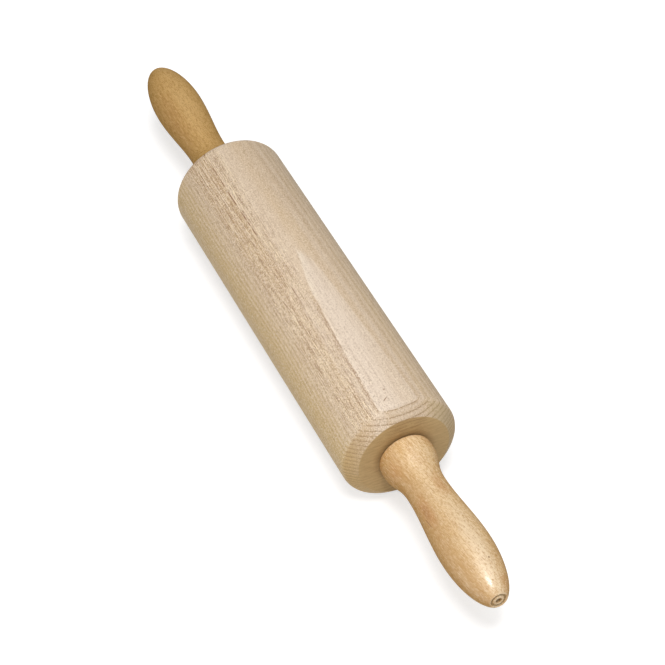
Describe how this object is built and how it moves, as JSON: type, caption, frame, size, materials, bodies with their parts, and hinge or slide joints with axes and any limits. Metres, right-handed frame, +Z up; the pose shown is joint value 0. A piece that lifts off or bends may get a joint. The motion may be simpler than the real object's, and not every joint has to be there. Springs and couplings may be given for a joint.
{
  "type": "rolling pin",
  "caption": "Wooden rolling pin whose chamfered pale beech barrel turns on ball bearings round a hidden steel axle, with a waisted lacquered handle at each end.",
  "frame": {"origin": "on the worktop under the middle of the barrel, which is the bottom centre of the box", "axes": "+X along the barrel's axis towards the right handle, +Z up, +Y away from the user"},
  "size_m": [0.444, 0.0648, 0.0649],
  "materials": {
    "raw_beech": "fine sanded, unfinished",
    "lacquered_beech": "clear honey lacquer, gloss",
    "axle_steel": "drawn bar",
    "bearing_steel": "ground and polished",
    "nylon": "moulded, natural",
    "seal_rubber": "moulded, matt"
  },
  "bodies": {
    "handles_and_axle": {"axle_rod": "axle_steel", "left_handle": "lacquered_beech", "right_handle": "lacquered_beech", "left_spacer": "nylon", "right_spacer": "nylon", "left_bearing_inner_race": "bearing_steel", "right_bearing_inner_race": "bearing_steel"},
    "barrel": {"roller_barrel": "raw_beech", "left_bearing_outer_race": "bearing_steel", "right_bearing_outer_race": "bearing_steel", "left_bearing_inboard_seal": "seal_rubber", "left_bearing_outboard_seal": "seal_rubber", "right_bearing_inboard_seal": "seal_rubber", "right_bearing_outboard_seal": "seal_rubber"},
    "left_ball_set": {"left_ball_cage": "nylon", "left_ball_1": "bearing_steel", "left_ball_2": "bearing_steel", "left_ball_3": "bearing_steel", "left_ball_4": "bearing_steel", "left_ball_5": "bearing_steel", "left_ball_6": "bearing_steel", "left_ball_7": "bearing_steel"},
    "right_ball_set": {"right_ball_cage": "nylon", "right_ball_1": "bearing_steel", "right_ball_2": "bearing_steel", "right_ball_3": "bearing_steel", "right_ball_4": "bearing_steel", "right_ball_5": "bearing_steel", "right_ball_6": "bearing_steel", "right_ball_7": "bearing_steel"}
  },
  "joints": [
    {"name": "barrel_spin", "type": "hinge", "parent": "handles_and_axle", "child": "barrel", "pos_m": [0, 0, 0.03243], "axis": [1, 0, 0], "continuous": true},
    {"name": "left_balls_orbit", "type": "hinge", "parent": "handles_and_axle", "child": "left_ball_set", "pos_m": [-0.1129, 0, 0.03243], "axis": [1, 0, 0], "continuous": true},
    {"name": "right_balls_orbit", "type": "hinge", "parent": "handles_and_axle", "child": "right_ball_set", "pos_m": [0.1129, 0, 0.03243], "axis": [1, 0, 0], "continuous": true}
  ],
  "couplings": [
    {"joint": "left_balls_orbit", "follows": "barrel_spin", "ratio": 0.6313},
    {"joint": "right_balls_orbit", "follows": "barrel_spin", "ratio": 0.6313}
  ]
}
